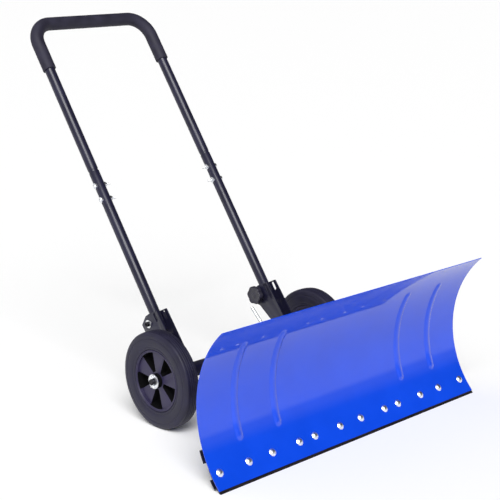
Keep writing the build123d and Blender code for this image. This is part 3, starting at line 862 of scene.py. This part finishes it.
weld = {"beam": 2.0, "sleeve": 1.7, "gusset": 1.8, "plate": 1.7, "stay": 1.6,      # radii of the beads, mm
        "ripple": 2.6, "step": 0.65, "taper": 2.5, "unsteady": 0.06,
        "beamEnd": 2, "armBelow": 12, "armAbove": 13, "armRun": (2, 33), "stayRun": (4, 30), "sleeveEnd": 6,
        "plateRun": (5, 44), "gussetLow": -18, "gussetTurn": 45, "gussetSteps": 24, "gussetProud": 1.1}
beads = {"frame": [], "handle": [], "blade": []}
firstSeed = {"frame": 0, "handle": 40, "blade": 80}


def weldBead(path, radius, seed):
    # overlapping ripples along a line, with a slightly unsteady hand
    rand = Random(seed)
    step = weld["step"] * mm
    points = []
    for start, end in zip(path, path[1:]):
        count = max(1, round((end - start).length / step))
        points += [start.lerp(end, i / count) for i in range(count)]
    points.append(path[-1])
    sizes = []
    for i in range(len(points)):
        ripple = 0.82 + 0.18 * abs(sin(pi * i * step / (weld["ripple"] * mm)))
        fromEnd = min(i, len(points) - 1 - i) * step
        taper = min(1, 0.45 + fromEnd / (weld["taper"] * mm))
        sizes.append(radius * mm * ripple * taper * (1 + weld["unsteady"] * (rand.random() - 0.5)))
    return tube(points, sizes, 10)


def addBead(body, radius, path):
    seed = firstSeed[body] + len(beads[body])
    beads[body].append(weldBead([Vector(point) for point in path], radius, seed))


def alongY(x, y, z, run):
    # a straight seam between two distances from y, in mm
    return [(x, y + distance * mm, z) for distance in run]


def weldFrame(label, side):
    beamLow, beamHigh = corners("cross_beam")
    end = weld["beamEnd"] * mm
    bracketLow, bracketHigh = corners("side_bracket_" + label)
    for x in (bracketLow.x - 0.4 * mm, bracketHigh.x + 0.4 * mm):      # brackets on the cross beam
        for z in (beamLow.z, beamHigh.z):
            addBead("frame", weld["beam"], [(x, beamLow.y + end, z), (x, beamHigh.y - end, z)])
    armLow, armHigh = corners("draft_arm_" + label)      # draft arms on the beam and the tongue plate
    y = beamLow.y - 0.2 * mm
    bottom = axle.z - weld["armBelow"] * mm
    top = axle.z + weld["armAbove"] * mm
    addBead("frame", weld["beam"], [(armLow.x, y, bottom), (armLow.x, y, top), (armHigh.x, y, top),
                                    (armHigh.x, y, bottom), (armLow.x, y, bottom)])
    plateTop = corners("tongue_plate")[1].z
    for x in (armLow.x, armHigh.x):
        addBead("frame", weld["beam"], alongY(x, armLow.y, plateTop, weld["armRun"]))
    stayLow, stayHigh = corners("guide_stay")      # guide stay on the tongue plate
    x = stayLow.x if side < 0 else stayHigh.x
    addBead("frame", weld["stay"], alongY(x, stayLow.y, plateTop, weld["stayRun"]))


def weldHandle(side):
    # cross sleeve on the back of each lower tube
    centre, low, high = [one for one in islands("pivot_sleeves") if one[0].x * side > 0][0]
    r = (high.z - low.z) / 2
    along = Vector((0, cos(slope), sin(slope)))
    toTube = Vector((0, -sin(slope), cos(slope)))
    end = weld["sleeveEnd"] * mm
    for way in (-1, 1):
        spot = centre + toTube * (r * 0.75) + along * (way * r * 0.95)
        addBead("handle", weld["sleeve"], [(low.x + end, spot.y, spot.z), (high.x - end, spot.y, spot.z)])


def weldBlade(label, side):
    # gussets on the blade's back, along its curve, and on the sector plate
    gussetLow, gussetHigh = corners("rear_gusset_" + label)
    for x in (gussetLow.x, gussetHigh.x):
        line = []
        for i in range(weld["gussetSteps"] + 1):
            angle = weld["gussetLow"] + weld["gussetTurn"] * i / weld["gussetSteps"]
            line.append(onBlade(x / mm, angle, blade["thickness"] + weld["gussetProud"]))
        addBead("blade", weld["gusset"], line)
    plateLow, plateHigh = corners("sector_plate")
    x = gussetHigh.x if side < 0 else gussetLow.x
    addBead("blade", weld["plate"], alongY(x, plateLow.y, plateHigh.z, weld["plateRun"]))


for label, side in sides.items():
    weldFrame(label, side)
    weldHandle(side)
    weldBlade(label, side)
for body, parts in beads.items():
    name = body + "_weld_beads"
    makePiece(name, meshFrom(name, *joined(parts), sharp=60), body, "black_paint")
print("welds made")

# studio: a pale backdrop, brightest along the horizon; overhead it is light on the left and dark on the
# right; one wide soft lamp from the front left

studio = {"lampPower": 3.4, "lampAngle": 38, "lampFrom": (-0.5, -0.55, 0.67), "floorHalf": 40}   # degrees, m
world = bpy.data.worlds.new("studio")
bpy.context.scene.world = world
world.use_nodes = True
sky = world.node_tree
outward = addNode(sky, "ShaderNodeTexCoord").outputs["Generated"]
direction = addNode(sky, "ShaderNodeSeparateXYZ", {"Vector": outward})
ceiling = addNode(sky, "ShaderNodeMapRange", {
    "Value": direction.outputs["X"], "From Min": -0.1, "From Max": 0.25, "To Min": 0.6, "To Max": 0.04})
horizon = addNode(sky, "ShaderNodeMapRange", {
    "Value": direction.outputs["Z"], "From Min": 0.0, "From Max": 0.06, "To Min": 0.95, "To Max": 0.4})
level = addNode(sky, "ShaderNodeMapRange", {
    "Value": direction.outputs["Z"], "From Min": 0.1, "From Max": 0.24, "To Min": horizon.outputs["Result"],
    "To Max": ceiling.outputs["Result"]})
plug(sky, sky.nodes["Background"], {"Color": (1, 1, 1, 1), "Strength": level.outputs["Result"]})

lampData = bpy.data.lights.new("soft lamp", "SUN")
lampData.energy = studio["lampPower"]
lampData.angle = radians(studio["lampAngle"])
lamp = bpy.data.objects.new("soft lamp", lampData)
lamp.rotation_euler = Vector(studio["lampFrom"]).to_track_quat("Z", "Y").to_euler()
bpy.context.scene.collection.objects.link(lamp)

half = studio["floorHalf"]
floorMesh = bpy.data.meshes.new("floor")
floorCorners = [(-half, -half, 0), (half, -half, 0), (half, half, 0), (-half, half, 0)]
floorMesh.from_pydata(floorCorners, [], [(0, 1, 2, 3)])
floor = bpy.data.objects.new("floor", floorMesh)
bpy.context.scene.collection.objects.link(floor)
paper, paperTree, paperSurface = newMaterial("floor paper")[:3]
plug(paperTree, paperSurface, {
    "Base Color": linearColor("FAFAFA"), "Roughness": 0.9, "Specular IOR Level": 0.2})
floorMesh.materials.append(paper)
bpy.context.scene.view_settings.view_transform = "Standard"
print("studio made")
